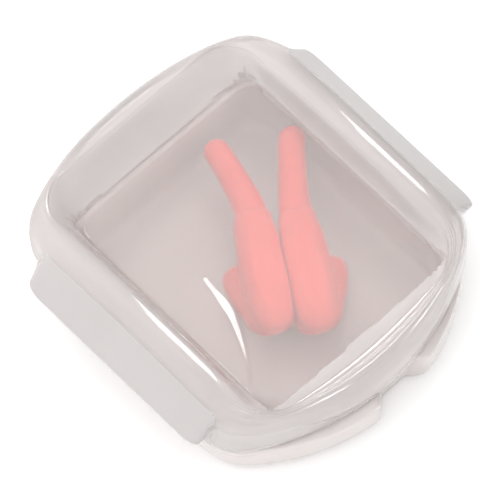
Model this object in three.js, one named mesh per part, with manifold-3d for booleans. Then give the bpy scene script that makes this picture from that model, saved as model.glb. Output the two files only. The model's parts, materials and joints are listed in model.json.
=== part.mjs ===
// A pair of ear plugs lying in a small hinged case. Millimetres, +Z up.
// Origin: middle of the case's footprint on the surface that it lies on.
// +X points to the front of the case, where a finger opens the lid; the hinge is at -X.

import * as THREE from 'three';
import { mergeVertices } from 'three/addons/utils/BufferGeometryUtils.js';
import Module from 'manifold-3d';

const wasm = await Module();
wasm.setup();

// ---- driving dimensions -------------------------------------------------------------------

const WALL = 1.0;                  // moulded wall thickness
const MARGIN = 3;                  // how far a cutting shape runs past what it cuts
const SLIVER = 0.01;                // keeps two surfaces from lying in one plane
const CUT_LENGTH = 60;             // longer than the case
const GAP = 0.3;                   // running gap between neighbouring pieces

// Plan outline of the lid: two straight sides, a shallow arc behind, a fuller arc in front.
const LID_HALF_WIDTH = 18.5;
const LID_REAR_X = -21.3;
const LID_FRONT_X = 20.6;
const REAR_ARC_R = 38;
const FRONT_ARC_R = 30;
const CORNER_R = 6.3;

// Levels
const FLOOR_TOP_Z = 1.0;
const PARTING_Z = 5.0;
const CHAMBER_TOP_Z = 9.2;
const PANEL_TOP_Z = 10.5;
const RAIL_TOP_Z = 13.2;

// Lid
const REAR_LIP_Z = 12.3;
const FRONT_RIDGE_Z = 10.9;
const FRONT_RIDGE_X = 18.0;
const FRONT_RIM_Z = 6.2;
const RAIL_TOP_X = -4;             // the rails rise to here, then fall towards the front
const RAIL_REAR_Z = 12.7;
const RAIL_FALL_X = 8;
const RAIL_FALL_Z = 12.8;
const RAIL_CREST_Y = 15.4;
const RAIL_SIDE_Y = 17.9;
const RAIL_SIDE_Z = 12.3;
const RAIL_SHOULDER = [            // steps in from the lid's side and up to the rail's crest
  { inwards: -0.15, z: 10.9, thinning: 0.4 },
  { inwards: 0.7, z: 12.6, thinning: 0.9 },
];
const RECESS_HALF_WIDTH = 12.7;    // recessed panel of the lid
const RECESS_REAR_X = -14.6;
const RECESS_FRONT_X = 16.5;
const RECESS_CORNER_R = 3.2;
const RECESS_SIDE_TAPER = 1.6;     // how far the recess's rim lies outside its floor
const RECESS_FRONT_TAPER = 1.2;
const RECESS_REAR_RAMP = 4.3;      // the panel rises to the rear lip along this length
const PANEL_T = 0.9;
const LIP_EDGE_DROP = 0.9;         // the rear lip's rounded outer edge
const LIP_EDGE_LENGTH = 1.4;

// Side wings of the lid
const WING_X = -0.3;
const WING_LENGTH = 26.6;
const WING_OUTER_Y = 19.9;
const WING_OUTER_Z = 8.2;
const WING_T = 1.1;
const WING_CORNER_R = 2.4;

// Base tray
const BASE_HALF_WIDTH = 17.9;
const BASE_REAR_X = -20.8;
const BASE_FRONT_X = 21.7;         // the base's front stands out a little under the lid's rim
const BASE_FRONT_ARC_R = 24;
const FLANGE_INSET = 0.15;         // flange inside the lid's outline
const FLANGE_T = 1.0;
const BASE_EDGE_R = 1.8;
const CHAMBER_HALF_WIDTH = 14;
const CHAMBER_REAR_X = -14.3;
const CHAMBER_FRONT_X = 16.0;
const CHAMBER_CORNER_R = 3.0;
const CHAMBER_WALL = 0.8;
const NOTCH_Y = 2.05;              // finger notch in the front of the base, flared at 45 degrees
const NOTCH_REAR_X = 19.3;
const NOTCH_REAR_HALF_WIDTH = 1.8;
const NOTCH_LENGTH = 4;
const FOOT_WALL = 1.2;

// Living hinge
const HINGE_X = -21.9;
const HINGE_WIDTH = 12;
const HINGE_T = 0.3;
const HINGE_HEIGHT = 0.9;

// Ear plugs
const PLUG_TURN = THREE.MathUtils.degToRad(-32.5);
const PAIR_X = -1.75;
const PAIR_Y = 4.6;
const PLUG_SPACING = 4.7;
const PLUG_STAGGER = 0.8;
const POD_R = 2.2;
const POD_LENGTH = 14.2;
const POD_Z = 7.1;
const SKIRT_R = 4.3;
const SKIRT_START = 5.4;
const SKIRT_Z = 4.5;
const SKIRT_FLATTEN = 0.72;
const STEM_R = 1.55;
const STEM_KNEE = 0.18;            // parts of the length before and after the bend
const STEM_REACH = 0.65;
const STEMS = {                    // each soft stem lies bent outwards by its own amount
  left: { side: -1, length: 9.9, bend: THREE.MathUtils.degToRad(19.2) },
  right: { side: 1, length: 10.6, bend: THREE.MathUtils.degToRad(10.8) },
};
const SPIGOT_R = 0.8;              // the stem's spigot inside the pod
const SPIGOT_LENGTH = 4;

// ---- solids ---------------------------------------------------------------------------------

// A closed geometry as a solid: vertices merged, collapsed triangles left out.
function solid(geometry) {
  const bare = geometry.clone();
  bare.deleteAttribute('normal');
  bare.deleteAttribute('uv');
  const merged = mergeVertices(bare, 1e-4);
  const index = merged.index.array;
  const triangles = [];
  for (let i = 0; i < index.length; i += 3) {
    const [a, b, c] = [index[i], index[i + 1], index[i + 2]];
    if (a !== b && b !== c && c !== a) triangles.push(a, b, c);
  }
  const vertProperties = new Float32Array(merged.attributes.position.array);
  const triVerts = new Uint32Array(triangles);
  return new wasm.Manifold(new wasm.Mesh({ numProp: 3, vertProperties, triVerts }));
}

function geometryOf(body) {
  const mesh = body.getMesh();
  const geometry = new THREE.BufferGeometry();
  geometry.setAttribute('position', new THREE.BufferAttribute(mesh.vertProperties, 3));
  geometry.setIndex(new THREE.BufferAttribute(mesh.triVerts, 1));
  geometry.computeVertexNormals();
  return geometry;
}

function part(name, body, look) {
  const material = new THREE.MeshStandardMaterial({ metalness: 0, ...look });
  const mesh = new THREE.Mesh(geometryOf(body), material);
  mesh.name = name;
  return mesh;
}

// ---- outlines -------------------------------------------------------------------------------

function arc(x, y, radius, from, to, steps) {
  const points = [];
  for (let i = 0; i <= steps; i += 1) {
    const angle = from + (to - from) * i / steps;
    points.push(new THREE.Vector2(x + radius * Math.cos(angle), y + radius * Math.sin(angle)));
  }
  return points;
}

function withoutRepeats(points) {
  return points.filter((p, i) => p.distanceTo(points[(i + 1) % points.length]) > 1e-3);
}

// The case's rounded outline, moved inwards by inset.
function caseOutline(halfWidth, rearX, frontX, frontArcR, inset) {
  const rearR = REAR_ARC_R - inset;
  const frontR = frontArcR - inset;
  const cornerR = CORNER_R - inset;
  const cornerY = halfWidth - CORNER_R;
  const rearCentre = rearX + REAR_ARC_R;
  const frontCentre = frontX - frontArcR;
  const rearCornerX = rearCentre - Math.sqrt((REAR_ARC_R - CORNER_R) ** 2 - cornerY ** 2);
  const frontCornerX = frontCentre + Math.sqrt((frontArcR - CORNER_R) ** 2 - cornerY ** 2);
  const rearAngle = Math.asin(cornerY / (REAR_ARC_R - CORNER_R));
  const frontAngle = Math.asin(cornerY / (frontArcR - CORNER_R));
  const quarter = Math.PI / 2;
  return withoutRepeats([
    ...arc(frontCentre, 0, frontR, -frontAngle, frontAngle, 14),
    ...arc(frontCornerX, cornerY, cornerR, frontAngle, quarter, 7),
    ...arc(rearCornerX, cornerY, cornerR, quarter, Math.PI - rearAngle, 8),
    ...arc(rearCentre, 0, rearR, Math.PI - rearAngle, Math.PI + rearAngle, 12),
    ...arc(rearCornerX, -cornerY, cornerR, Math.PI + rearAngle, 3 * quarter, 8),
    ...arc(frontCornerX, -cornerY, cornerR, 3 * quarter, 2 * Math.PI - frontAngle, 7),
  ]);
}

function lidOutline(inset) {
  return caseOutline(LID_HALF_WIDTH, LID_REAR_X, LID_FRONT_X, FRONT_ARC_R, inset);
}

function roundedRectangle(x0, x1, halfWidth, radius, steps) {
  const quarter = Math.PI / 2;
  const y = halfWidth - radius;
  return withoutRepeats([
    ...arc(x1 - radius, -y, radius, -quarter, 0, steps),
    ...arc(x1 - radius, y, radius, 0, quarter, steps),
    ...arc(x0 + radius, y, radius, quarter, 2 * quarter, steps),
    ...arc(x0 + radius, -y, radius, 2 * quarter, 3 * quarter, steps),
  ]);
}

// ---- prisms ---------------------------------------------------------------------------------

function prism(points, z0, z1) {
  const shape = new THREE.Shape(points);
  const geometry = new THREE.ExtrudeGeometry(shape, { depth: z1 - z0, bevelEnabled: false });
  return solid(geometry.translate(0, 0, z0));
}

// A prism whose end edges are rounded inwards from the outline.
function roundedPrism(points, z0, z1, radius) {
  const geometry = new THREE.ExtrudeGeometry(new THREE.Shape(points), {
    depth: z1 - z0 - 2 * radius,
    bevelThickness: radius,
    bevelSize: radius,
    bevelOffset: -radius,
    bevelSegments: 5,
  });
  return solid(geometry.translate(0, 0, z0 + radius));
}

// A prism that widens from one outline of the same kind to another.
function frustum(lower, upper, z0, z1) {
  const count = lower.length;
  const ring = (points, z) => points.flatMap((p) => [p.x, p.y, z]);
  const triangles = [];
  for (let i = 0; i < count; i += 1) {
    const next = (i + 1) % count;
    triangles.push(i, next, count + next, i, count + next, count + i);
  }
  for (const [a, b, c] of THREE.ShapeUtils.triangulateShape(lower, [])) {
    triangles.push(a, c, b, count + a, count + b, count + c);
  }
  const geometry = new THREE.BufferGeometry();
  const positions = [...ring(lower, z0), ...ring(upper, z1)];
  geometry.setAttribute('position', new THREE.Float32BufferAttribute(positions, 3));
  geometry.setIndex(triangles);
  return solid(geometry);
}

// Profiles drawn as (x, z) and run along Y, or drawn as (y, z) and run along X.
function alongY(points, length) {
  const shape = new THREE.Shape(points);
  const geometry = new THREE.ExtrudeGeometry(shape, { depth: length, bevelEnabled: false });
  geometry.translate(0, 0, -length / 2);
  geometry.rotateX(Math.PI / 2);
  return solid(geometry);
}

function alongX(points, length) {
  const shape = new THREE.Shape(points);
  const geometry = new THREE.ExtrudeGeometry(shape, { depth: length, bevelEnabled: false });
  geometry.translate(0, 0, -length / 2);
  geometry.rotateX(Math.PI / 2);
  geometry.rotateZ(Math.PI / 2);
  return solid(geometry);
}

function block(x0, x1, y0, y1, z0, z1) {
  const geometry = new THREE.BoxGeometry(x1 - x0, y1 - y0, z1 - z0);
  return solid(geometry.translate((x0 + x1) / 2, (y0 + y1) / 2, (z0 + z1) / 2));
}

function smoothProfile(points, steps) {
  return new THREE.SplineCurve(points.map(([x, y]) => new THREE.Vector2(x, y))).getPoints(steps);
}

// ---- lid ------------------------------------------------------------------------------------

const LID_BOTTOM_Z = PARTING_Z + GAP / 2;
const LID_SIDE_Z = PARTING_Z + 2;
// Parts of the wall by which the inside's bends lie behind the outside's.
const LIP_BEND_SHIFT = 0.7;
const RIDGE_BEND_SHIFT = 0.5;
const SHOULDER_BEND_SHIFT = 0.2;

// Side view of the lid: rear lip, long rails, then the slope down to the front ridge and rim.
// The profile runs on past the lid below and behind, so that only the outline cuts there.
function lidSideProfile(inset) {
  const edgeZ = REAR_LIP_Z - LIP_EDGE_DROP - inset;
  const top = smoothProfile([
    [LID_REAR_X + inset, edgeZ],
    [LID_REAR_X + LIP_EDGE_LENGTH + inset * LIP_BEND_SHIFT, REAR_LIP_Z - inset],
    [RECESS_REAR_X, RAIL_REAR_Z - inset],
    [RAIL_TOP_X, RAIL_TOP_Z - inset],
    [RAIL_FALL_X, RAIL_FALL_Z - inset],
    [FRONT_RIDGE_X - inset * RIDGE_BEND_SHIFT, FRONT_RIDGE_Z - inset],
    [LID_FRONT_X - inset, FRONT_RIM_Z],
  ], 36);
  return [
    new THREE.Vector2(LID_REAR_X - MARGIN + inset, PARTING_Z - MARGIN),
    new THREE.Vector2(LID_FRONT_X - inset, PARTING_Z - MARGIN),
    ...top.reverse(),
    new THREE.Vector2(LID_REAR_X - MARGIN + inset, edgeZ),
  ];
}

// End view of the lid: sides with a little draft and a rounded rail along each.
function lidEndProfile(inset) {
  const shoulder = RAIL_SHOULDER.map(({ inwards, z, thinning }) => (
    [RAIL_SIDE_Y - inwards - inset * (1 - thinning * SHOULDER_BEND_SHIFT), z - inset * thinning]
  ));
  const side = smoothProfile([
    [LID_HALF_WIDTH - inset, LID_SIDE_Z],
    ...shoulder,
    [RAIL_CREST_Y, RAIL_TOP_Z + SLIVER - inset],
  ], 14);
  const half = [
    new THREE.Vector2(LID_HALF_WIDTH + SLIVER - inset, PARTING_Z - MARGIN),
    ...side,
  ];
  const mirrored = half.map((p) => new THREE.Vector2(-p.x, p.y)).reverse();
  return [...half, ...mirrored];
}

// The recess over the panel: steep beside the rails, a long ramp up to the rear lip.
function recess(grow, floorZ) {
  const floor = roundedRectangle(
    RECESS_REAR_X - grow,
    RECESS_FRONT_X + grow,
    RECESS_HALF_WIDTH + grow,
    RECESS_CORNER_R + grow,
    6,
  );
  const rim = roundedRectangle(
    RECESS_REAR_X - RECESS_REAR_RAMP - grow,
    RECESS_FRONT_X + RECESS_FRONT_TAPER + grow,
    RECESS_HALF_WIDTH + RECESS_SIDE_TAPER + grow,
    RECESS_CORNER_R + GAP + grow,
    6,
  );
  return frustum(floor, rim, floorZ, RAIL_TOP_Z + GAP);
}

function lidShell() {
  const outer = prism(lidOutline(0), LID_BOTTOM_Z, RAIL_TOP_Z + MARGIN)
    .intersect(alongY(lidSideProfile(0), CUT_LENGTH))
    .intersect(alongX(lidEndProfile(0), CUT_LENGTH));
  const hollow = prism(lidOutline(WALL), PARTING_Z - MARGIN, RAIL_TOP_Z + MARGIN)
    .intersect(alongY(lidSideProfile(WALL), CUT_LENGTH))
    .intersect(alongX(lidEndProfile(WALL), CUT_LENGTH))
    .subtract(recess(WALL, PANEL_TOP_Z - PANEL_T));
  return outer.subtract(recess(0, PANEL_TOP_Z)).subtract(hollow);
}

// A wing: a plate that slopes out and down from the lid's side, with rounded outer corners.
function wing(side) {
  const rise = RAIL_SIDE_Z - WING_OUTER_Z;
  const reach = WING_OUTER_Y - RAIL_SIDE_Y - GAP;
  const slope = Math.atan2(rise, reach);
  const width = Math.hypot(rise, reach);
  const half = WING_LENGTH / 2;
  const r = WING_CORNER_R;
  const outline = withoutRepeats([
    new THREE.Vector2(-half, 0),
    new THREE.Vector2(half, 0),
    ...arc(half - r, width - r, r, 0, Math.PI / 2, 5),
    ...arc(-half + r, width - r, r, Math.PI / 2, Math.PI, 5),
  ]);
  const plate = new THREE.ExtrudeGeometry(new THREE.Shape(outline), {
    depth: WING_T,
    bevelEnabled: false,
  });
  plate.rotateX(-slope);
  plate.translate(WING_X, RAIL_SIDE_Y + GAP, RAIL_SIDE_Z);
  const grown = prism(lidOutline(-GAP), LID_BOTTOM_Z - MARGIN, RAIL_TOP_Z + MARGIN);
  const body = solid(plate.translate(0, 0, -WING_T / 2)).subtract(grown);
  return side > 0 ? body : body.mirror([0, 1, 0]);
}

// ---- base -----------------------------------------------------------------------------------

const DECK_Z = PARTING_Z - GAP / 2;

function baseOutline(inset) {
  return caseOutline(BASE_HALF_WIDTH, BASE_REAR_X, BASE_FRONT_X, BASE_FRONT_ARC_R, inset);
}

function chamber(grow, z0, z1) {
  const outline = roundedRectangle(
    CHAMBER_REAR_X - grow,
    CHAMBER_FRONT_X + grow,
    CHAMBER_HALF_WIDTH + grow,
    CHAMBER_CORNER_R + grow,
    6,
  );
  return prism(outline, z0, z1);
}

function notchCutter(grow, z0, z1) {
  const rear = NOTCH_REAR_X - grow;
  const front = NOTCH_REAR_X + NOTCH_LENGTH;
  const rearHalf = NOTCH_REAR_HALF_WIDTH + grow * (Math.SQRT2 - 1);
  const frontHalf = rearHalf + front - rear;
  return prism([
    new THREE.Vector2(rear, NOTCH_Y - rearHalf),
    new THREE.Vector2(front, NOTCH_Y - frontHalf),
    new THREE.Vector2(front, NOTCH_Y + frontHalf),
    new THREE.Vector2(rear, NOTCH_Y + rearHalf),
  ], z0, z1);
}

function baseTray() {
  const body = roundedPrism(baseOutline(0), 0, PARTING_Z + BASE_EDGE_R, BASE_EDGE_R)
    .intersect(block(-CUT_LENGTH, CUT_LENGTH, -CUT_LENGTH, CUT_LENGTH, -MARGIN, DECK_Z));
  const flange = prism(lidOutline(FLANGE_INSET), DECK_Z - FLANGE_T, DECK_Z);
  const skirtHollow = prism(baseOutline(FOOT_WALL), -MARGIN, DECK_Z - FLANGE_T)
    .subtract(chamber(CHAMBER_WALL, -2 * MARGIN, DECK_Z))
    .subtract(notchCutter(WALL, -2 * MARGIN, DECK_Z));
  return body
    .add(flange)
    .subtract(skirtHollow)
    .add(chamber(CHAMBER_WALL, 0, CHAMBER_TOP_Z))
    .subtract(chamber(0, FLOOR_TOP_Z, CHAMBER_TOP_Z + MARGIN))
    .subtract(notchCutter(0, -MARGIN, DECK_Z + MARGIN));
}

function hingeWeb() {
  return block(
    HINGE_X - HINGE_T / 2,
    HINGE_X + HINGE_T / 2,
    -HINGE_WIDTH / 2,
    HINGE_WIDTH / 2,
    PARTING_Z - HINGE_HEIGHT / 2,
    PARTING_Z + HINGE_HEIGHT / 2,
  );
}

// ---- ear plugs ------------------------------------------------------------------------------

// A turned shape whose profile (radius, distance along the axis) runs along +X.
function turned(profile, segments) {
  const geometry = new THREE.LatheGeometry(profile, segments);
  return geometry.rotateZ(-Math.PI / 2);
}

// The soft pod with its wider skirt, lying along +X from its stem end at x = 0.
// The skirt is flattened from above, and pressed flat where the two plugs meet.
function foamPod(side) {
  const podProfile = smoothProfile([
    [0, 0],
    [1.3, 0.15],
    [POD_R - 0.1, 1.6],
    [POD_R, 5],
    [POD_R, 10],
    [POD_R - 0.45, POD_LENGTH - 1.4],
    [0.9, POD_LENGTH - 0.25],
    [0, POD_LENGTH],
  ], 26);
  const skirtProfile = smoothProfile([
    [SKIRT_R - 0.5, SKIRT_START],
    [SKIRT_R, SKIRT_START + 0.8],
    [SKIRT_R - 0.2, SKIRT_START + 2.4],
    [SKIRT_R - 1.1, SKIRT_START + 5],
    [POD_R, POD_LENGTH - 1.8],
    [0, POD_LENGTH - 0.9],
  ], 20);
  skirtProfile.unshift(new THREE.Vector2(0, SKIRT_START));
  const pod = solid(turned(podProfile, 28).translate(0, 0, POD_Z));
  const bell = turned(skirtProfile, 36).scale(1, 1, SKIRT_FLATTEN).translate(0, 0, SKIRT_Z);
  const room = 2 * SKIRT_R;
  const meeting = block(0, POD_LENGTH, -room, room, 0, 2 * POD_Z)
    .translate([0, side * (room - PLUG_SPACING / 2 + GAP / 2), 0]);
  const boreLength = SPIGOT_LENGTH + WALL;
  const bore = new THREE.CylinderGeometry(SPIGOT_R + GAP, SPIGOT_R + GAP, boreLength, 20);
  bore.rotateZ(Math.PI / 2);
  bore.translate(boreLength / 2 - 2 * GAP, 0, POD_Z);
  return pod.add(solid(bell).intersect(meeting)).subtract(solid(bore));
}

// The gripping stem: a slim rounded rod that bends outwards, with a spigot inside the pod.
function stem({ side, length, bend }) {
  const start = new THREE.Vector3(-GAP, 0, POD_Z);
  const knee = new THREE.Vector3(-length * STEM_KNEE, 0, POD_Z);
  const reach = length * STEM_REACH;
  const end = new THREE.Vector3(
    knee.x - reach * Math.cos(bend),
    side * reach * Math.sin(bend),
    POD_Z,
  );
  const path = new THREE.QuadraticBezierCurve3(start, knee, end);
  const section = new THREE.Shape(withoutRepeats(arc(0, 0, STEM_R, 0, 2 * Math.PI, 20)));
  const rod = new THREE.ExtrudeGeometry(section, { steps: 12, extrudePath: path });
  const tip = new THREE.SphereGeometry(STEM_R + SLIVER, 22, 16).translate(end.x, end.y, end.z);
  const spigot = new THREE.CylinderGeometry(SPIGOT_R, SPIGOT_R, SPIGOT_LENGTH + GAP, 16);
  spigot.rotateZ(Math.PI / 2);
  spigot.translate((SPIGOT_LENGTH - GAP) / 2 - GAP, 0, POD_Z);
  return solid(rod).add(solid(tip)).add(solid(spigot));
}

// ---- assembly -------------------------------------------------------------------------------

const FROSTED = { color: 0xdcd6d2, roughness: 0.35, transparent: true, opacity: 0.5 };
const CORAL_FOAM = { color: 0xf29a92, roughness: 0.85 };
const CORAL_STEM = { color: 0xf58d88, roughness: 0.6 };

const object = new THREE.Group();
object.add(part('case_base', baseTray(), FROSTED));
object.add(part('case_lid', lidShell(), FROSTED));
object.add(part('lid_wing_left', wing(-1), FROSTED));
object.add(part('lid_wing_right', wing(1), FROSTED));
object.add(part('hinge_web', hingeWeb(), FROSTED));

const pair = new THREE.Group();
pair.position.set(PAIR_X, PAIR_Y, 0);
pair.rotation.z = PLUG_TURN;
for (const [label, shape] of Object.entries(STEMS)) {
  const { side } = shape;
  const plug = new THREE.Group();
  plug.position.set(side * PLUG_STAGGER / 2, side * PLUG_SPACING / 2, 0);
  plug.add(part(`plug_${label}_pod`, foamPod(side), CORAL_FOAM));
  plug.add(part(`plug_${label}_stem`, stem(shape), CORAL_STEM));
  pair.add(plug);
}
object.add(pair);

export default object;
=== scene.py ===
"""A pair of coral ear plugs lying in a small frosted case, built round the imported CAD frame.

Lengths in this script are millimetres until MM turns them into Blender's metres.
"""
import json
import math

import bmesh
import bpy
import numpy as np
from mathutils import Matrix, Vector


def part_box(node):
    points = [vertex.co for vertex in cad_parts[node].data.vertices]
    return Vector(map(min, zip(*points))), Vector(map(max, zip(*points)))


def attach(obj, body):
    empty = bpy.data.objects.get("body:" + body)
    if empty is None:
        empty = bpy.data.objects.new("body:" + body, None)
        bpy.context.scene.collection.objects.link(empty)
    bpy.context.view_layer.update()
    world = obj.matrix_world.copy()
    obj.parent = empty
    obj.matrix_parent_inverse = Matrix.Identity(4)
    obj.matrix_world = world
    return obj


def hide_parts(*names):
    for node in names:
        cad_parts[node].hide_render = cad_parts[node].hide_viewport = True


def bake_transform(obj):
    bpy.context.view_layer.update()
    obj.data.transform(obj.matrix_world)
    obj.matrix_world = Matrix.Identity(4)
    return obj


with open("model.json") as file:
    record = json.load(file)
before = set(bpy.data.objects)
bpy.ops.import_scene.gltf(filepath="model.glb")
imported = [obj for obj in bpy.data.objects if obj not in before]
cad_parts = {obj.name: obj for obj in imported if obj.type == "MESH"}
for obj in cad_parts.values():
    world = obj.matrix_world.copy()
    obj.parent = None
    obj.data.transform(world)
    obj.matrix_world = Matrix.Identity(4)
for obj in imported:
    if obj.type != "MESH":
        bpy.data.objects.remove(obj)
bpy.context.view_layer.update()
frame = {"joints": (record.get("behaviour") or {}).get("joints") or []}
MM = 0.001


def box_mm(node):
    low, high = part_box(node)
    return np.array(low) / MM, np.array(high) / MM


LID_LOW, LID_HIGH = box_mm("case_lid")
BASE_HIGH = box_mm("case_base")[1]
WING_LOW, WING_HIGH = box_mm("lid_wing_right")

# ---- sizes of the case ------------------------------------------------------------------------

WALL = 1.0
FLANGE_Z = 4.85                    # top of the base's flange, just under the lid's rim
RIM_Z = LID_LOW[2]
RAIL_Z = LID_HIGH[2]
# The rounded edge of the lid's rim: inset from its outline, height above its lowest ring.
RIM_EDGE = [(0.25, 0.0), (0.08, 0.06), (0.0, 0.25)]

LID_HALF = LID_HIGH[1]
LID_REAR = LID_LOW[0]
LID_FRONT = LID_HIGH[0]
REAR_ARC = 38.0
FRONT_ARC = 30.0
CORNER = 6.3

PANEL_Z = 10.5
PANEL_DOME = 0.25
RECESS_REAR = -14.6
RECESS_FRONT = 16.5
RECESS_HALF = 12.7
RECESS_CORNER = 3.2
RECESS_TAPER = 1.6
RECESS_END_TAPER = 1.2
RECESS_BOW = 1.2                   # the recess's front edge is curved a little
REAR_RAMP = 4.3                    # the panel rises to the rear lip over this length
REAR_RIM_CORNER = 4.2
# Fine steps round the lid's front: place from the edge (0) to the recess (1), width, height.
RIBS = [(0.17, 0.05, 0.14), (0.36, 0.05, 0.14), (0.53, 0.04, 0.11), (0.63, 0.04, 0.12),
        (0.73, 0.04, 0.11), (0.92, 0.05, 0.12)]
RIBS_START = 11.5                  # they rise out of the smooth edge from here forwards
RIBS_FADE = 4.0
REAR_LIP_START = -14.5             # the edge grows flatter from here backwards
REAR_LIP_FADE = 5.0
REAR_LIP_FLATTENING = 0.72
SKIN_THINNING = 0.08               # the lid's top is this much thinner than its wall

CREASE_HEIGHT = 0.2                # of the panel's crease, as a part of its width
CREASE_FROM, CREASE_TO = -2.0, 11.0
CREASE_FADE = 2.0
PANEL_WAVE = 0.05

# The rings of the lid's top between its edge (0) and the recess (1): the ones that a wing grows
# out of, and the even ones after them.
WING_ROOT = [0.0, 0.02, 0.05, 0.09, 0.13, 0.17, 0.21, 0.25]
AFTER_ROOT = np.linspace(0.27, 1.0, 54)
WING_TIP_Z = 8.2
WING_T = 1.0
WING_CORNER = 2.4
WING_SLANT = 1.3                   # a wing's length along its slope, for each mm of its height

BASE_HALF = 17.9
BASE_REAR = -20.8
BASE_FRONT = BASE_HIGH[0] + 0.09   # the arc's peak, which the finger notch cuts away
BASE_FRONT_ARC = 24.0
BASE_FOOT_R = 1.8
SKIRT_WALL = 1.2
FLANGE_T = 1.0
CHAMBER_REAR = -14.3
CHAMBER_FRONT = 16.0
CHAMBER_HALF = 14.0
CHAMBER_CORNER = 3.0
CHAMBER_WALL = 0.8
CHAMBER_TOP = BASE_HIGH[2]
FLOOR_T = 1.0
FLOOR_FILLET = 1.2
NOTCH_Y = 2.05                     # the finger notch, flared outwards at 45 degrees
NOTCH_REAR = 19.3
NOTCH_REAR_HALF = 1.8
NOTCH_SOFT = 0.13

WEB_GAP = 0.03                     # the hinge strip's inner face stands this far off the case
WEB_BULGE = 0.42                   # and this much further in its middle
WEB_REACH = 1.15                   # it reaches this far above and below the hinge's axis
WEB_T = 0.132
WEB_ROOT_T = 0.18                  # extra thickness at its upper and lower edge

THETA = np.linspace(0, 2 * math.pi, 576, endpoint=False)
COS, SIN = np.cos(THETA), np.sin(THETA)


# ---- curves and outlines ----------------------------------------------------------------------

def smooth_curve(points, steps=24):
    """Points on a Catmull-Rom curve through the given points."""
    p = np.array(points, float)
    p = np.vstack([2 * p[0] - p[1], p, 2 * p[-1] - p[-2]])
    t = np.linspace(0, 1, steps, endpoint=False)[:, None]
    spans = []
    for a, b, c, d in zip(p, p[1:], p[2:], p[3:]):
        spans.append(0.5 * (2 * b + (c - a) * t + (2 * a - 5 * b + 4 * c - d) * t ** 2
                            + (3 * b - a - 3 * c + d) * t ** 3))
    return np.vstack(spans + [p[-2:-1]])


def profile(points):
    """A smooth function of one number through the given (input, output) points."""
    curve = smooth_curve(points)
    return lambda v: np.interp(v, curve[:, 0], curve[:, 1])


def smoothstep(v):
    v = np.clip(v, 0, 1)
    return v * v * (3 - 2 * v)


def arc(x, y, radius, start, end):
    a = np.linspace(start, end, 200)
    return np.stack([x + radius * np.cos(a), y + radius * np.sin(a)], 1)


def polar(points):
    """The outline as a radius for each angle in THETA, seen from the origin."""
    closed = np.vstack([points, points[:1]])
    travelled = np.concatenate([[0], np.hypot(*np.diff(closed, axis=0).T).cumsum()])
    even = np.linspace(0, travelled[-1], 6000, endpoint=False)
    points = np.stack([np.interp(even, travelled, closed[:, k]) for k in (0, 1)], 1)
    angles = np.arctan2(points[:, 1], points[:, 0]) % (2 * math.pi)
    order = np.argsort(angles)
    radii = np.hypot(points[:, 0], points[:, 1])
    return np.interp(THETA, angles[order], radii[order], period=2 * math.pi)


def case_outline(half, rear, front, front_arc, inset=0.0):
    """Straight sides, a shallow arc behind, a fuller arc in front, round corners."""
    y = half - CORNER
    rear_centre, front_centre = rear + REAR_ARC, front - front_arc
    rear_x = rear_centre - math.sqrt((REAR_ARC - CORNER) ** 2 - y ** 2)
    front_x = front_centre + math.sqrt((front_arc - CORNER) ** 2 - y ** 2)
    rear_a = math.asin(y / (REAR_ARC - CORNER))
    front_a = math.asin(y / (front_arc - CORNER))
    quarter, corner = math.pi / 2, CORNER - inset
    return polar(np.vstack([
        arc(front_centre, 0, front_arc - inset, -front_a, front_a),
        arc(front_x, y, corner, front_a, quarter),
        arc(rear_x, y, corner, quarter, math.pi - rear_a),
        arc(rear_centre, 0, REAR_ARC - inset, math.pi - rear_a, math.pi + rear_a),
        arc(rear_x, -y, corner, math.pi + rear_a, 3 * quarter),
        arc(front_x, -y, corner, 3 * quarter, 2 * math.pi - front_a),
    ]))


def rounded_rectangle(x0, x1, half, radius, rear_radius=None, bow=0.0):
    """A rectangle with round corners whose front side bows forward by bow."""
    quarter = math.pi / 2
    y, rear = half - radius, rear_radius or radius
    side_y = np.linspace(-y, y, 60)
    front = np.stack([np.full(side_y.shape, x1), side_y], 1)
    points = np.vstack([
        arc(x1 - radius, -y, radius, -quarter, 0),
        front,
        arc(x1 - radius, y, radius, 0, quarter),
        arc(x0 + rear, half - rear, rear, quarter, 2 * quarter),
        arc(x0 + rear, rear - half, rear, 2 * quarter, 3 * quarter),
    ])
    points[:, 0] -= bow * (points[:, 1] / half) ** 2 * np.clip(points[:, 0] / x1, 0, 1)
    return polar(points)


def lid_outline(inset=0.0):
    return case_outline(LID_HALF, LID_REAR, LID_FRONT, FRONT_ARC, inset)


def base_outline(inset=0.0):
    return case_outline(BASE_HALF, BASE_REAR, BASE_FRONT, BASE_FRONT_ARC, inset)


def chamber_outline(grow=0.0):
    return rounded_rectangle(CHAMBER_REAR - grow, CHAMBER_FRONT + grow,
                             CHAMBER_HALF + grow, CHAMBER_CORNER + grow)


def notched(radii, grow=0.0):
    """Cuts the finger notch, grown by grow, into a ring of radii, with soft corners. Where a
    direction never meets one of the notch's sides, its divisor stays at 0.05, which puts that
    side far outside the ring."""
    reach = NOTCH_REAR - NOTCH_REAR_HALF - grow * math.sqrt(2)
    rear = (NOTCH_REAR - grow) / np.maximum(COS, 0.05)
    left = (reach + NOTCH_Y) / np.maximum(COS + SIN, 0.05)
    right = (reach - NOTCH_Y) / np.maximum(COS - SIN, 0.05)
    soft = NOTCH_SOFT
    near = soft * np.logaddexp(np.logaddexp(rear / soft, left / soft), right / soft)
    return -soft * np.logaddexp(-radii / soft, -near / soft)


# ---- meshes -----------------------------------------------------------------------------------

def ring(radii, z):
    return np.stack([radii * COS, radii * SIN, np.broadcast_to(z, THETA.shape)], 1)


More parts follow.
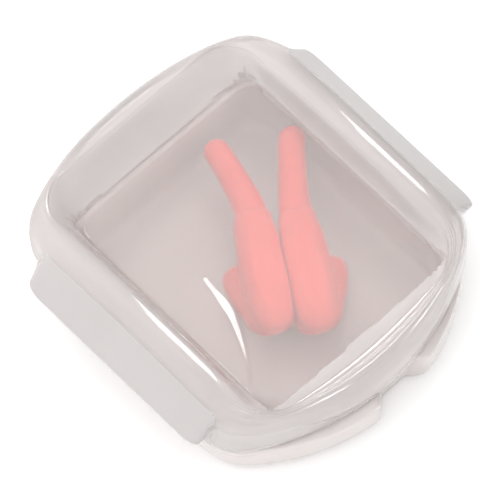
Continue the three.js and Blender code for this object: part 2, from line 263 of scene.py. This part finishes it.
def new_object(name, vertices, faces):
    mesh = bpy.data.meshes.new(name)
    mesh.from_pydata((np.asarray(vertices) * MM).tolist(), [], faces)
    mesh.validate()
    mesh.shade_smooth()
    obj = bpy.data.objects.new(name, mesh)
    bpy.context.scene.collection.objects.link(obj)
    return obj


def tube_faces(rings, count):
    """Faces that join rings of count points, one after the other, and close both ends on the
    two points that follow the last ring."""
    faces = []
    for k in range(rings - 1):
        low, high = k * count, (k + 1) * count
        for i in range(count):
            j = (i + 1) % count
            faces.append((low + i, low + j, high + j, high + i))
    last, start, end = (rings - 1) * count, rings * count, rings * count + 1
    for i in range(count):
        j = (i + 1) % count
        faces.append((start, j, i))
        faces.append((end, last + i, last + j))
    return faces


def loft(name, rings):
    """Joins rings of equal length into one surface, whose ends are closed on their middles."""
    vertices = np.vstack([*rings, rings[0].mean(0), rings[-1].mean(0)])
    return new_object(name, vertices, tube_faces(len(rings), len(rings[0])))


# ---- lid --------------------------------------------------------------------------------------

# Height of the lid's top along its length, and how far it falls from there at the edge.
lid_length_profile = profile([
    (LID_REAR - 1, 11.2), (LID_REAR, 11.8), (-19.8, 12.3), (-14.6, 12.7), (-4, RAIL_Z),
    (8, RAIL_Z - 0.35), (14.5, 12.0), (17.0, 11.25), (18.2, 10.85), (19.0, 10.3), (19.7, 9.5),
    (LID_FRONT, 8.0), (LID_FRONT + 1, 6.2),
])
lid_edge_drop = profile([
    (0, 2.35), (0.04, 1.75), (0.1, 1.25), (0.2, 0.78), (0.35, 0.34), (0.5, 0.09),
    (0.66, 0.0), (0.74, 0.015), (0.82, 0.055), (0.9, 0.115), (0.95, 0.175), (1.0, 0.3),
])
# The middle and the width, along the case, of a long soft crease that the panel keeps beside
# the left plug.
crease_middle = profile([(-5, -6.7), (0, -7.75), (3, -8.4), (5, -8.97), (8, -10.1),
                         (10.5, -11.3), (13, -12.6)])
crease_width = profile([(-5, 0.7), (0, 0.8), (3, 1.1), (5, 1.25), (7, 1.05), (9, 0.8), (11, 0.6),
                        (13, 0.5)])
# How much of the fall from the recess's rim to its floor lies within a part of the way.
recess_slope = profile([(0, 0), (0.12, 0.09), (0.45, 0.52), (0.75, 0.85), (1, 1)])


def press_mark(x, y):
    """Height of the crease, which fades out at both its ends."""
    width = crease_width(x)
    fade = smoothstep((x - CREASE_FROM) / CREASE_FADE)
    fade = fade * (1 - smoothstep((x - CREASE_TO) / CREASE_FADE))
    return CREASE_HEIGHT * width * fade * np.exp(-((y - crease_middle(x)) / width) ** 2)


def panel_height(x, y):
    """The thin panel bows up a little in its middle and is not quite even."""
    u, v = x / RECESS_FRONT, y / RECESS_HALF
    dome = PANEL_DOME * np.clip(1 - u * u, 0, 1) * np.clip(1 - v * v, 0, 1)
    wave = PANEL_WAVE * np.sin(0.31 * x + 0.22 * y + 0.8) * np.cos(0.17 * x - 0.29 * y)
    wave *= np.clip(1 - u ** 4, 0, 1) * np.clip(1 - v ** 4, 0, 1)
    return PANEL_Z + dome + wave + press_mark(x, y)


def wing_window(x):
    """1 along a wing, falling round its corners to 0 past its ends."""
    middle = (WING_LOW[0] + WING_HIGH[0]) / 2
    half = (WING_HIGH[0] - WING_LOW[0]) / 2
    length = (WING_HIGH[2] - WING_TIP_Z) * WING_SLANT
    past = np.abs(x - middle) - (half - WING_CORNER)
    rounding = np.sqrt(np.clip(WING_CORNER ** 2 - np.clip(past, 0, None) ** 2, 0, None))
    window = (length - WING_CORNER + rounding) / length
    return window * (1 - smoothstep((past - WING_CORNER + 0.5) / 0.6))


def wing_rings(wall, edge):
    """Rings out along a wing's underside, round its edge and up to the lid's top; beyond the
    wing's ends they follow the lid's wall and then the given rings of its rounded edge."""
    # The path in the (out, up) plane: the underside, the rounded edge, the top up to the root.
    side = np.sign(wall[:, 1])
    root = np.stack([side * edge[-1][:, 1], edge[-1][:, 2]], 1)
    tip = np.array([WING_HIGH[1] - 0.15, WING_TIP_Z])
    slope = tip - root[np.argmax(side * wall[:, 1])]
    slope /= np.hypot(*slope)
    inward = np.array([slope[1], -slope[0]])
    under_tip = tip + inward * WING_T
    path = [under_tip - slope * back for back in (2.7, 1.9, 1.1, 0.4, 0.1)]
    middle = (tip + under_tip) / 2
    for a in np.radians(np.linspace(-80, 80, 7)):
        out = slope * math.cos(a) - inward * math.sin(a)
        path.append(middle + out * WING_T / 2 - slope * WING_T * 0.32)
    walls = [wall + (edge[0] - wall) * k / len(path) for k in range(len(path))] + edge
    path += [tip * (1 - t) + root * t for t in (0.12, 0.25, 0.4, 0.55, 0.7, 0.82, 0.92, 1.0)]
    window = wing_window(wall[:, 0])[:, None]
    window = np.where((np.abs(wall[:, 1]) > LID_HALF - 1.5)[:, None], window, 0)
    rings = []
    for beyond, place in zip(walls, path):
        y, z = np.broadcast_to(place, root.shape).T
        wing = np.stack([beyond[:, 0], side * y, z], 1)
        rings.append(beyond * (1 - window) + wing * window)
    return rings


def eroded(radii, heights, stations, thickness):
    """Heights of the surface that lies thickness inside the one given by radii and heights."""
    out = np.empty((len(stations), len(THETA)))
    out_of_reach = 1e3
    for i in range(len(THETA)):
        order = np.argsort(radii[:, i])
        # Even samples, and the rings themselves, where the surface has its bends.
        r = np.concatenate([np.linspace(0, radii[:, i].max(), 700), radii[:, i]])
        z = np.interp(r, radii[order, i], heights[order, i])
        gap = np.abs(stations[:, i][:, None] - r[None, :])
        ball = np.sqrt(np.clip(thickness ** 2 - gap ** 2, 0, None))
        out[:, i] = np.where(gap < thickness, z[None, :] - ball, out_of_reach).min(1)
    return out


def edge_drop(f, x):
    """The lid's edge is rounder along the sides and in front than on the rear lip."""
    behind = smoothstep((REAR_LIP_START - x) / REAR_LIP_FADE)
    return lid_edge_drop(f) * (1 - REAR_LIP_FLATTENING * behind)


def front_ribs(f, x):
    """How far the fine steps stand out of the lid's front."""
    steps = sum(size * math.exp(-((f - place) / width) ** 2) for place, width, size in RIBS)
    return steps * smoothstep((x - RIBS_START) / RIBS_FADE)


def lid_top():
    """Radii and heights of the lid's top, from its outer edge to the panel's middle, and the
    outlines of the recess's rim and floor."""
    outer = lid_outline()
    rim = rounded_rectangle(RECESS_REAR - REAR_RAMP, RECESS_FRONT + RECESS_END_TAPER,
                            RECESS_HALF + RECESS_TAPER, RECESS_CORNER + 0.5,
                            rear_radius=REAR_RIM_CORNER, bow=RECESS_BOW)
    floor = rounded_rectangle(RECESS_REAR, RECESS_FRONT, RECESS_HALF, RECESS_CORNER,
                              bow=RECESS_BOW)
    radii, heights = [], []
    for f in [*WING_ROOT, *AFTER_ROOT]:
        r = outer * (1 - f) + rim * f
        radii.append(r)
        heights.append(lid_length_profile(r * COS) - edge_drop(f, r * COS)
                       + front_ribs(f, r * COS))
    # Down the recess's wall, and then across the panel.
    top = heights[-1]
    foot = panel_height(floor * COS, floor * SIN)
    for t in (0.04, 0.1, 0.25, 0.42, 0.6, 0.78, 0.9, 0.96, 1.0):
        radii.append(rim * (1 - t) + floor * t)
        heights.append(top + (foot - top) * recess_slope(t))
    for t in [0.985, *np.linspace(0.97, 0.4, 34), 0.34, 0.27, 0.2, 0.12, 0.04]:
        radii.append(floor * t)
        heights.append(panel_height(floor * t * COS, floor * t * SIN))
    return np.array(radii), np.array(heights), rim, floor


def make_lid():
    """The lid's shell with its wings: its inside out to the rim, and then its outside back."""
    radii, heights, rim, floor = lid_top()
    rings = [ring(lid_outline(inset), RIM_Z + up) for inset, up in RIM_EDGE]
    wall_foot = RIM_Z + RIM_EDGE[-1][1]
    wall_rise = heights[0] - RIM_Z - RIM_EDGE[-1][1]
    for t in (0.25, 0.5):
        rings.append(ring(lid_outline(0.06 * t), wall_foot + wall_rise * t))
    wall = ring(lid_outline(0.05), wall_foot + wall_rise * 0.8)
    top = [ring(r, z) for r, z in zip(radii, heights)]
    count = len(WING_ROOT)
    rings += wing_rings(wall, top[:count]) + top[count:]

    # The inside is worked out under the edge, under the recess's wall and under the panel, and
    # runs down the lid's own wall to the rim.
    wall_in = lid_outline(WALL)
    rim_in = np.minimum(rim + 0.9, wall_in - 0.15)
    floor_in = np.minimum(floor + 0.75, rim_in - 0.1)
    under_edge = (0, 0.04, 0.1, 0.2, 0.35, 0.55, 0.75, 0.9, 1)
    under_panel = (0.97, 0.93, 0.87, 0.8, 0.7, 0.6, 0.5, 0.4, 0.3, 0.2, 0.1, 0.04)
    stations = [wall_in + (rim_in - wall_in) * t for t in under_edge]
    stations += [rim_in + (floor_in - rim_in) * t for t in np.linspace(0.08, 1, 12)]
    stations += [floor_in * t for t in under_panel]
    stations = np.array(stations)
    inner = eroded(radii, heights, stations, WALL - SKIN_THINNING)
    inside = [ring(r, z) for r, z in zip(stations, inner)][::-1]
    for t in (0.25, 0.5, 0.75, 0.95):
        inside.append(ring(wall_in, inner[0] + (RIM_Z + 0.2 - inner[0]) * t))
    inside.append(ring(lid_outline(WALL - 0.15), RIM_Z))
    return loft("lid_shell", inside + rings)


# ---- base -------------------------------------------------------------------------------------

def make_base():
    """The tray, from the middle of its underside round the skirt and the chamber to its floor."""
    chamber = chamber_outline()
    chamber_out = chamber_outline(CHAMBER_WALL)
    skirt = notched(base_outline())
    skirt_in = notched(base_outline(SKIRT_WALL), WALL)
    flange = notched(np.maximum(lid_outline(0.15), base_outline()))
    deck_under = FLANGE_Z - FLANGE_T
    chamber_rise = CHAMBER_TOP - FLANGE_Z

    # The chamber's underside, a little hollow in the middle, and its outside up to the deck.
    rings = [ring(chamber_out * t, 0.12) for t in (0.04, 0.15, 0.3, 0.45, 0.6, 0.75, 0.86)]
    rings.append(ring(chamber_out * 0.9, 0.1))
    rings += [ring(chamber_out - inset, up)
              for inset, up in ((1.2, 0.0), (0.35, 0.0), (0.1, 0.1), (0, 0.35))]
    rings += [ring(chamber_out, deck_under * t) for t in (0.35, 0.7, 0.94)]
    rings.append(ring(chamber_out + 0.15, deck_under))
    # The inside of the skirt, its rounded foot, its outside and the flange.
    rings.append(ring(skirt_in - 0.15, deck_under))
    rings += [ring(skirt_in, deck_under * t) for t in (0.94, 0.6, 0.3)]
    rings.append(ring(notched(base_outline(SKIRT_WALL), 0.6), 0.3))
    for a in np.radians([64, 52, 40, 28, 16, 6, 0]):
        inset = BASE_FOOT_R * (1 - math.cos(a))
        rings.append(ring(notched(base_outline(inset)), BASE_FOOT_R * (1 - math.sin(a))))
    rings += [ring(skirt, z) for z in (2.6, 3.4, deck_under - 0.1)]
    rings.append(ring(np.maximum(skirt, flange - 0.1), deck_under))
    rings.append(ring(flange, deck_under + 0.12))
    rings.append(ring(flange, FLANGE_Z - 0.15))
    rings.append(ring(flange - 0.13, FLANGE_Z))
    rings += [ring(flange * (1 - t) + chamber_out * t, FLANGE_Z) for t in (0.25, 0.5, 0.75)]
    # The chamber's wall, up and over its top, and down its inside to the floor.
    rings.append(ring(chamber_out + 0.25, FLANGE_Z))
    rings.append(ring(chamber_out + 0.05, FLANGE_Z + 0.12))
    rings += [ring(chamber_out, FLANGE_Z + chamber_rise * t) for t in (0.15, 0.5, 0.85, 0.95)]
    rings.append(ring(chamber_out - 0.12, CHAMBER_TOP))
    rings.append(ring(chamber + 0.12, CHAMBER_TOP))
    for t in (0.97, 0.75, 0.5, 0.3, 0.18):
        rings.append(ring(chamber, FLOOR_T + (CHAMBER_TOP - FLOOR_T) * t))
    for a in np.radians([15, 35, 55, 75, 90]):
        inset = FLOOR_FILLET * (1 - math.cos(a))
        rings.append(ring(chamber - inset, FLOOR_T + FLOOR_FILLET * (1 - math.sin(a))))
    for t in (0.93, 0.85, 0.75, 0.6, 0.45, 0.3, 0.15, 0.04):
        rings.append(ring((chamber - FLOOR_FILLET) * t, FLOOR_T))
    return loft("base_tray", rings)


def make_web(pivot):
    """The thin hinge strip: a shallow bulge from the base's flange up to the lid's rim, bowed
    like the case's rear and thicker along both its edges."""
    half = box_mm("hinge_web")[1][1]
    rows, across = 13, 33
    vertices = []
    for skin in (0.0, 1.0):
        for i in range(rows):
            t = 2 * i / (rows - 1) - 1
            out = WEB_GAP + WEB_BULGE * (1 - t * t) + skin * (WEB_T + WEB_ROOT_T * t * t)
            for k in range(across):
                s = 2 * k / (across - 1) - 1
                y = s * half * (1 + 0.06 * t * t)
                rear = LID_REAR + y * y / (2 * REAR_ARC)
                vertices.append((rear - out, y, pivot[2] + t * WEB_REACH))
    faces = []
    size = rows * across
    for i in range(rows - 1):
        for k in range(across - 1):
            a = i * across + k
            b = a + across
            faces.append((a, b, b + 1, a + 1))
            faces.append((size + a, size + a + 1, size + b + 1, size + b))
    for i in range(rows - 1):
        a, b = i * across, (i + 1) * across
        c, d = a + across - 1, b + across - 1
        faces.append((a, size + a, size + b, b))
        faces.append((c, d, size + d, size + c))
    for k in range(across - 1):
        top = (rows - 1) * across + k
        faces.append((k, k + 1, size + k + 1, size + k))
        faces.append((top, size + top, size + top + 1, top + 1))
    return new_object("hinge_strip", vertices, faces)


# ---- ear plugs --------------------------------------------------------------------------------

PLUG_TURN = math.radians(-32.5)
PAIR_AT = (-1.75, 4.6)
PLUG_SPACING = 4.7
PLUG_STAGGER = 0.8
PLUG_GAP = 0.02                    # half the gap between the two pressed faces
POD_Z = 7.1
POD_PROFILE = [(0.0, 0.0), (1.75, 0.1), (2.15, 1.3), (2.45, 4.0), (2.6, 8.5), (2.2, 12.3),
               (1.2, 13.85), (0.0, 14.2)]
POD_TOP_Z = 9.38                   # the closed lid presses the pods flat
SKIRT_Z = 4.5
SKIRT_FLATTEN = 0.72
SKIRT_PROFILE = [(0.0, 5.4), (3.8, 5.4), (4.3, 6.2), (4.1, 7.8), (3.2, 10.4), (2.2, 12.4),
                 (0.0, 13.3)]
STEM_TIP_R = 1.45
STEM_ROOT_R = 1.75
STEM_LENGTH = {-1: 9.9, 1: 10.6}
STEM_BEND = {-1: math.radians(19.2), 1: math.radians(10.8)}
STEM_KNEE = 0.18                   # parts of the length before and after the knee
STEM_REACH = 0.65
STEM_RINGS = 34
FOAM_VOXEL = 0.16
FOAM_UNEVENNESS = 0.16
PRESS_SOFT = 0.07                  # how sharply the pressed faces turn into the round ones


def plug_place(side):
    """Turns a plug's own millimetres, with +X along the plug, into the case's."""
    pair = Matrix.Translation((*PAIR_AT, 0)) @ Matrix.Rotation(PLUG_TURN, 4, "Z")
    return pair @ Matrix.Translation((side * PLUG_STAGGER / 2, side * PLUG_SPACING / 2, 0))


def transformed(points, matrix):
    m = np.array(matrix)
    return np.asarray(points) @ m[:3, :3].T + m[:3, 3]


def turned(curve, segments=72):
    """Vertices and faces of a (radius, distance) curve turned round +X, closed on the axis."""
    angles = np.linspace(0, 2 * math.pi, segments, endpoint=False)
    body = curve[1:-1]
    vertices = [(s, r * math.sin(a), r * math.cos(a)) for r, s in body for a in angles]
    vertices += [(curve[0][1], 0, 0), (curve[-1][1], 0, 0)]
    return np.array(vertices), tube_faces(len(body), segments)


def remeshed(vertices, faces, voxel):
    """One even skin round overlapping closed shapes, all in millimetres."""
    mesh = bpy.data.meshes.new("rough_shape")
    mesh.from_pydata(vertices.tolist(), [], faces)
    rough = bpy.data.objects.new("rough_shape", mesh)
    bpy.context.scene.collection.objects.link(rough)
    remesh = rough.modifiers.new("even_skin", "REMESH")
    remesh.mode = "VOXEL"
    remesh.voxel_size = voxel
    smooth = rough.modifiers.new("soften", "SMOOTH")
    smooth.factor = 0.5
    smooth.iterations = 7
    graph = bpy.context.evaluated_depsgraph_get()
    result = rough.evaluated_get(graph).to_mesh()
    points = np.empty(len(result.vertices) * 3)
    result.vertices.foreach_get("co", points)
    loops = [tuple(p.vertices) for p in result.polygons]
    rough.evaluated_get(graph).to_mesh_clear()
    bpy.data.objects.remove(rough)
    bpy.data.meshes.remove(mesh)
    return points.reshape(-1, 3), loops


def foam_grain(points, size):
    """A small smooth unevenness for each point, from a sum of waves in fixed directions."""
    waves = np.random.default_rng(11).normal(size=(14, 3))
    phases = np.random.default_rng(12).uniform(0, 2 * math.pi, 14)
    return size * np.sin(points @ waves.T * 1.6 + phases).mean(1)


def pressed(values, limit):
    """Values that stay under a limit, with a soft turn where they come near it."""
    return limit - PRESS_SOFT * np.logaddexp(0, (limit - values) / PRESS_SOFT)


def make_pod(name, side):
    """A pod and its flattened skirt under one skin; side is -1 for the left plug, 1 for the
    right."""
    pod, pod_faces = turned(smooth_curve(POD_PROFILE, 6))
    bell, bell_faces = turned(smooth_curve(SKIRT_PROFILE, 8), 96)
    pod = pod + (0, 0, POD_Z)
    bell = bell * (1, 1, SKIRT_FLATTEN) + (0, 0, SKIRT_Z)
    faces = pod_faces + [tuple(i + len(pod) for i in face) for face in bell_faces]
    points, faces = remeshed(np.vstack([pod, bell]), faces, FOAM_VOXEL)
    # Each point moves along its direction from the plug's middle line by the foam's unevenness.
    middle = np.clip(points, (2.0, 0, SKIRT_Z), (12.0, 0, POD_Z))
    outward = points - middle
    outward /= np.maximum(np.linalg.norm(outward, axis=1, keepdims=True), 1e-6)
    points = points + outward * foam_grain(points, FOAM_UNEVENNESS)[:, None]
    # The plugs press each other flat where they meet, and the lid presses them from above.
    points[:, 1] = -side * pressed(-side * points[:, 1], PLUG_SPACING / 2 - PLUG_GAP)
    points[:, 2] = pressed(points[:, 2], POD_TOP_Z)
    return new_object(name, transformed(points, plug_place(side)), faces)


def make_stem(name, side):
    """A round stem that tapers and bends to its side, with a domed tip."""
    length, bend = STEM_LENGTH[side], STEM_BEND[side]
    start = np.array([0.25, 0.0, POD_Z])
    knee = np.array([-length * STEM_KNEE, 0.0, POD_Z])
    end = knee + length * STEM_REACH * np.array([-math.cos(bend), side * math.sin(bend), 0])
    path, ahead, radii = [], [], []
    for k, t in enumerate(np.linspace(0, 1, STEM_RINGS)):
        path.append((1 - t) ** 2 * start + 2 * t * (1 - t) * knee + t * t * end)
        ahead.append(2 * (1 - t) * (knee - start) + 2 * t * (end - knee))
        taper = smoothstep(k / (STEM_RINGS - 1))
        radii.append(STEM_ROOT_R + (STEM_TIP_R - STEM_ROOT_R) * taper)
    last_ahead, last_radius = ahead[-1], radii[-1]
    for a in np.radians([12, 25, 38, 50, 62, 74, 84]):
        path.append(end + last_ahead / np.linalg.norm(last_ahead) * last_radius * math.sin(a))
        ahead.append(last_ahead)
        radii.append(last_radius * math.cos(a))
    angles = np.linspace(0, 2 * math.pi, 40, endpoint=False)
    rings = []
    for centre, along, radius in zip(path, ahead, radii):
        along = along / np.linalg.norm(along)
        across = np.array([-along[1], along[0], 0])
        section = np.outer(np.cos(angles), across) + np.outer(np.sin(angles), (0, 0, 1))
        rings.append(centre + radius * section)
    vertices = np.vstack([*rings, path[0], rings[-1].mean(0)])
    faces = tube_faces(len(rings), len(angles))
    return new_object(name, transformed(vertices, plug_place(side)), faces)


def face_outwards(obj):
    """Makes every face of a closed mesh point out of it."""
    bm = bmesh.new()
    bm.from_mesh(obj.data)
    bmesh.ops.recalc_face_normals(bm, faces=bm.faces)
    if bm.calc_volume(signed=True) < 0:
        bmesh.ops.reverse_faces(bm, faces=bm.faces)
    bm.to_mesh(obj.data)
    bm.free()
    obj.data.shade_smooth()


# ---- materials --------------------------------------------------------------------------------

HAZE_SPREAD = 0.02


def nodes_for(name):
    material = bpy.data.materials.new(name)
    material.use_nodes = True
    tree = material.node_tree
    return material, tree, tree.nodes["Principled BSDF"]


def texture(tree, kind, scale, **settings):
    """A texture in the object's own metres; scale counts its features in a millimetre."""
    coordinates = tree.nodes.new("ShaderNodeTexCoord")
    node = tree.nodes.new(kind)
    tree.links.new(coordinates.outputs["Object"], node.inputs["Vector"])
    node.inputs["Scale"].default_value = scale / MM
    for key, value in settings.items():
        node.inputs[key].default_value = value
    return node


def ramp(tree, source, stops):
    node = tree.nodes.new("ShaderNodeValToRGB")
    tree.links.new(source, node.inputs["Fac"])
    elements = node.color_ramp.elements
    while len(elements) < len(stops):
        elements.new(0.5)
    for element, (position, colour) in zip(elements, stops):
        element.position = position
        element.color = (*colour, 1)
    return node.outputs["Color"]


def grey(value):
    return (value, value, value)


def bump(tree, shader, height, strength, distance_mm, below=None):
    node = tree.nodes.new("ShaderNodeBump")
    node.inputs["Strength"].default_value = strength
    node.inputs["Distance"].default_value = distance_mm * MM
    tree.links.new(height, node.inputs["Height"])
    if below:
        tree.links.new(below.outputs["Normal"], node.inputs["Normal"])
    tree.links.new(node.outputs["Normal"], shader.inputs["Normal"])
    return node


def frosted(name, colour, transmission, rough, ripple, coat=0.8):
    """Thin milky plastic: it scatters what is seen through it, under a clearer gloss. Its
    roughness varies by HAZE_SPREAD round rough; ripple is how strongly its surface is waved."""
    material, tree, shader = nodes_for(name)
    flow = texture(tree, "ShaderNodeTexNoise", 0.11, Detail=3.0, Roughness=0.55)
    tint = ramp(tree, flow.outputs["Fac"],
                [(0.3, tuple(c * 0.965 for c in colour)), (0.7, colour)])
    tree.links.new(tint, shader.inputs["Base Color"])
    haze = texture(tree, "ShaderNodeTexNoise", 0.5, Detail=4.0, Roughness=0.6)
    tree.links.new(ramp(tree, haze.outputs["Fac"],
                        [(0.3, grey(rough - HAZE_SPREAD)), (0.7, grey(rough + HAZE_SPREAD))]),
                   shader.inputs["Roughness"])
    shader.inputs["Transmission Weight"].default_value = transmission
    shader.inputs["IOR"].default_value = 1.3
    shader.inputs["Coat Weight"].default_value = coat
    shader.inputs["Coat Roughness"].default_value = 0.05
    shader.inputs["Coat IOR"].default_value = 1.5
    waves = texture(tree, "ShaderNodeTexNoise", 0.25, Detail=2.0, Roughness=0.5)
    grain = texture(tree, "ShaderNodeTexNoise", 2.5, Detail=3.0, Roughness=0.6)
    first = bump(tree, shader, waves.outputs["Fac"], ripple, 0.1)
    bump(tree, shader, grain.outputs["Fac"], ripple, 0.002, first)
    return material


def stressed_web():
    """The hinge strip, whitened in fine lines where it has been bent."""
    material, tree, shader = nodes_for("whitened_strip")
    lines = texture(tree, "ShaderNodeTexWave", 0.9, Distortion=1.2, Detail=2.0)
    lines.bands_direction = "Z"
    tree.links.new(ramp(tree, lines.outputs["Fac"],
                        [(0.2, (0.8, 0.78, 0.765)), (0.8, (0.93, 0.92, 0.91))]),
                   shader.inputs["Base Color"])
    shader.inputs["Transmission Weight"].default_value = 0.45
    shader.inputs["Roughness"].default_value = 0.5
    shader.inputs["IOR"].default_value = 1.49
    bump(tree, shader, lines.outputs["Fac"], 0.3, 0.02)
    return material


def coral(name, light, deep, pores, rough):
    """Soft coral foam or rubber, with fine closed pores and a faint mottle."""
    material, tree, shader = nodes_for(name)
    mottle = texture(tree, "ShaderNodeTexNoise", 0.32, Detail=5.0, Roughness=0.6)
    tree.links.new(ramp(tree, mottle.outputs["Fac"], [(0.3, deep), (0.7, light)]),
                   shader.inputs["Base Color"])
    shader.inputs["Roughness"].default_value = rough
    shader.inputs["Subsurface Weight"].default_value = 0.35
    shader.inputs["Subsurface Radius"].default_value = (1.0, 0.4, 0.3)
    shader.inputs["Subsurface Scale"].default_value = 0.9 * MM
    shader.inputs["Sheen Weight"].default_value = 0.15
    cells = texture(tree, "ShaderNodeTexVoronoi", pores)
    first = bump(tree, shader, cells.outputs["Distance"], 0.35, 0.05)
    fine = texture(tree, "ShaderNodeTexNoise", pores * 1.7, Detail=3.0, Roughness=0.6)
    bump(tree, shader, fine.outputs["Fac"], 0.3, 0.02, first)
    return material


# ---- pieces -----------------------------------------------------------------------------------

def finish_piece(obj, material, slot, *nodes):
    """Turns a piece's faces outwards, gives it its material, and hides the CAD nodes it stands
    for.
    """
    face_outwards(obj)
    obj.data.materials.append(material)
    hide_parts(*nodes)


lid = make_lid()
finish_piece(lid, frosted("milky_lid", (0.83, 0.785, 0.775), 0.6, 0.24, 0.3), "frosted_lid",
             "case_lid", "lid_wing_left", "lid_wing_right")
lid.data.materials.append(frosted("clear_panel", (0.98, 0.935, 0.925), 0.89, 0.17, 0.2))
# The wings get the lid's plastic darkened as painted shade, and made less see-through.
lid.data.materials.append(frosted("milky_wing_painted_shade", (0.55, 0.525, 0.52), 0.15, 0.34, 0.3, coat=0.2))
# The wings, and the panel above and below, have materials of their own; the wings' darker colour
# is painted shade.
PANEL_SLOT, WING_SHADE_SLOT = 1, 2
for face in lid.data.polygons:
    x, y, z = face.center / MM
    on_wing = abs(y) > LID_HALF - 0.9 and z > 7.0 and wing_window(x) > 0.5
    along_panel = RECESS_REAR - 0.3 < x < RECESS_FRONT - 0.4
    on_panel = along_panel and abs(y) < RECESS_HALF + 0.3 and z > 8.5
    if on_wing:
        face.material_index = WING_SHADE_SLOT
    if on_panel:
        face.material_index = PANEL_SLOT
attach(lid, "lid")

base = make_base()
finish_piece(base, frosted("milky_base", (0.87, 0.815, 0.8), 0.35, 0.32, 0.15), "frosted_base",
             "case_base")
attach(base, "base")

hinge = next(joint for joint in frame["joints"] if joint["name"] == "lid_hinge")
hinge_at = np.array(hinge["pos_m"]) / MM
web = make_web(hinge_at)
finish_piece(web, stressed_web(), "frosted_web", "hinge_web")
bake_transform(web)

foam = coral("coral_foam_skin", (0.96, 0.13, 0.095), (0.9, 0.095, 0.07), 4.5, 0.8)
rubber = coral("coral_stem_skin", (0.96, 0.1, 0.075), (0.92, 0.08, 0.06), 7.0, 0.55)
for label, side in (("left", -1), ("right", 1)):
    pod = make_pod(f"foam_pod_{label}", side)
    finish_piece(pod, foam, "coral_foam", f"plug_{label}_pod")
    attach(pod, f"plug_{label}")
    stem = make_stem(f"soft_stem_{label}", side)
    finish_piece(stem, rubber, "coral_stem", f"plug_{label}_stem")
    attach(stem, f"plug_{label}")


# ---- stage ------------------------------------------------------------------------------------

LIGHT_DISTANCE = 520.0


def make_floor():
    """A pale table top, just under the case, which glows faintly: painted light that lightens the
    shadows on it.
    """
    half, steps = 1500.0, 24
    side = np.linspace(-half, half, steps)
    vertices = [(x, y, -0.02) for y in side for x in side]
    faces = [(k * steps + i, k * steps + i + 1, (k + 1) * steps + i + 1, (k + 1) * steps + i)
             for k in range(steps - 1) for i in range(steps - 1)]
    floor = new_object("table_top", vertices, faces)
    material, tree, shader = nodes_for("pale_table_glowing")
    tone = texture(tree, "ShaderNodeTexNoise", 0.02, Detail=2.0, Roughness=0.5)
    tree.links.new(ramp(tree, tone.outputs["Fac"], [(0.3, grey(0.955)), (0.7, grey(0.97))]),
                   shader.inputs["Base Color"])
    shader.inputs["Roughness"].default_value = 0.9
    # The faint glow is painted light that lightens the shadows on the table.
    shader.inputs["Emission Color"].default_value = (1, 1, 1, 1)
    shader.inputs["Emission Strength"].default_value = 0.05
    floor.data.materials.append(material)


def add_light(name, azimuth, elevation, size, energy):
    """A square soft box looking at the case from an azimuth and elevation in degrees."""
    a, e = math.radians(azimuth), math.radians(elevation)
    away = Vector((math.cos(a) * math.cos(e), math.sin(a) * math.cos(e), math.sin(e)))
    data = bpy.data.lights.new(name, "AREA")
    data.shape = "RECTANGLE"
    data.size = data.size_y = size * MM
    data.energy = energy
    light = bpy.data.objects.new(name, data)
    light.location = away * LIGHT_DISTANCE * MM
    light.rotation_euler = away.to_track_quat("Z", "Y").to_euler()
    bpy.context.scene.collection.objects.link(light)
    return light


def make_world(dim, bright, towards):
    """A white room that is brightest towards one side."""
    world = bpy.data.worlds.new("soft_room")
    world.use_nodes = True
    tree = world.node_tree
    direction = tree.nodes.new("ShaderNodeTexCoord")
    facing = tree.nodes.new("ShaderNodeVectorMath")
    facing.operation = "DOT_PRODUCT"
    facing.inputs[1].default_value = Vector(towards).normalized()
    tree.links.new(direction.outputs["Generated"], facing.inputs[0])
    level = tree.nodes.new("ShaderNodeMapRange")
    level.inputs["From Min"].default_value = -1
    level.inputs["To Min"].default_value = dim
    level.inputs["To Max"].default_value = bright
    tree.links.new(facing.outputs["Value"], level.inputs["Value"])
    background = tree.nodes["Background"]
    background.inputs["Color"].default_value = (1.0, 0.995, 0.99, 1)
    tree.links.new(level.outputs["Result"], background.inputs["Strength"])
    bpy.context.scene.world = world


def make_camera(azimuth, elevation, width_mm, shift_mm, lens=500.0, sensor=36.0):
    """Looks at the case's lid; shift_mm moves what it looks at to the image's right and up."""
    a, e = math.radians(azimuth), math.radians(elevation)
    back = Vector((math.sin(a) * math.cos(e), -math.cos(a) * math.cos(e), math.sin(e)))
    right = Vector((math.cos(a), math.sin(a), 0))
    up = back.cross(right)
    target = Vector((0, 0, PANEL_Z)) + right * shift_mm[0] + up * shift_mm[1]
    data = bpy.data.cameras.new("view_camera")
    data.lens, data.sensor_width = lens, sensor
    data.clip_start, data.clip_end = 0.01, 10.0
    camera = bpy.data.objects.new("view_camera", data)
    camera.location = (target + back * (width_mm * lens / sensor)) * MM
    camera.rotation_euler = back.to_track_quat("Z", "Y").to_euler()
    bpy.context.scene.collection.objects.link(camera)
    bpy.context.scene.camera = camera


make_floor()
make_world(dim=0.46, bright=1.66, towards=(-0.5, -0.65, 0.57))
add_light("soft_box", azimuth=165, elevation=58, size=360, energy=0.27)
# Two smaller boxes that only show as highlights, along the rails and on the front's fine steps.
for name, azimuth, elevation, size, energy in (("rail_glint", 111, 53, 95, 0.36),
                                               ("front_glint", 21, 34, 170, 1.5421)):
    glint = add_light(name, azimuth, elevation, size, energy)
    glint.visible_diffuse = False
    glint.visible_transmission = False
make_camera(azimuth=46.3, elevation=64.0, width_mm=52.9, shift_mm=(-0.38, -1.3))
bpy.context.scene.view_settings.view_transform = "Standard"
